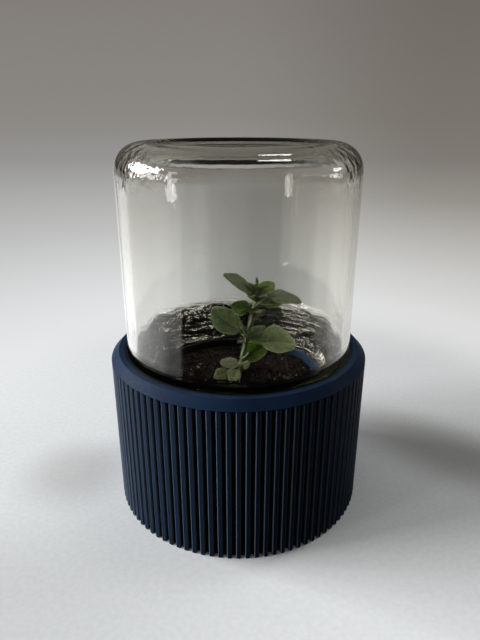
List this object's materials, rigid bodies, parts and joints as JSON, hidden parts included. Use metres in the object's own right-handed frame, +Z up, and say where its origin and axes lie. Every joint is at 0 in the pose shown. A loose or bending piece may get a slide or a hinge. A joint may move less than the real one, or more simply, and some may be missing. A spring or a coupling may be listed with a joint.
{
  "type": "mason jar greenhouse",
  "caption": "Tabletop greenhouse: an upturned glass preserving jar stands in a ribbed round plastic base over a lift-out cup of soil with a herb seedling.",
  "frame": {"origin": "centre of the base's underside, on the surface that it stands on", "axes": "+Z up along the axis that the base, the cup and the jar share; -Y faces the picture's camera and +X is to its right"},
  "size_m": [0.105, 0.105, 0.1462],
  "materials": {
    "navy_plastic": "matt navy printed plastic",
    "cup_plastic": "matt navy printed plastic",
    "jar_glass": "clear pressed glass",
    "soil": "moist dark potting soil",
    "grit": "rough pale grit",
    "stem": "downy green stem",
    "leaf": "downy matt leaf",
    "pale_leaf": "pale downy leaf"
  },
  "bodies": {
    "base": {"ribbed_base": "navy_plastic"},
    "cup": {"planting_cup": "cup_plastic", "potting_soil": "soil", "pale_grains": "grit", "seedling_stem": "stem", "tip_leaf": "leaf", "top_right_leaf": "leaf", "top_left_leaf": "leaf", "upper_left_leaf": "leaf", "upper_right_leaf": "leaf", "bud_leaf": "leaf", "bud_side_leaf": "leaf", "pale_right_leaf": "pale_leaf", "middle_left_leaf": "leaf", "node_leaf": "leaf", "large_left_leaf": "leaf", "large_right_leaf": "leaf", "back_right_leaf": "leaf", "axil_leaf": "leaf", "lower_right_leaf": "leaf", "front_seed_leaf": "pale_leaf", "low_left_leaf": "leaf", "left_seed_leaf": "pale_leaf", "right_seed_leaf": "pale_leaf"},
    "jar": {"mason_jar": "jar_glass"}
  },
  "joints": [
    {"name": "cup_lift", "type": "slide", "parent": "base", "child": "cup", "axis": [0, 0, 1], "range_m": [0, 0.065]},
    {"name": "jar_lift", "type": "slide", "parent": "cup", "child": "jar", "axis": [0, 0, 1], "range_m": [0, 0.08]}
  ]
}
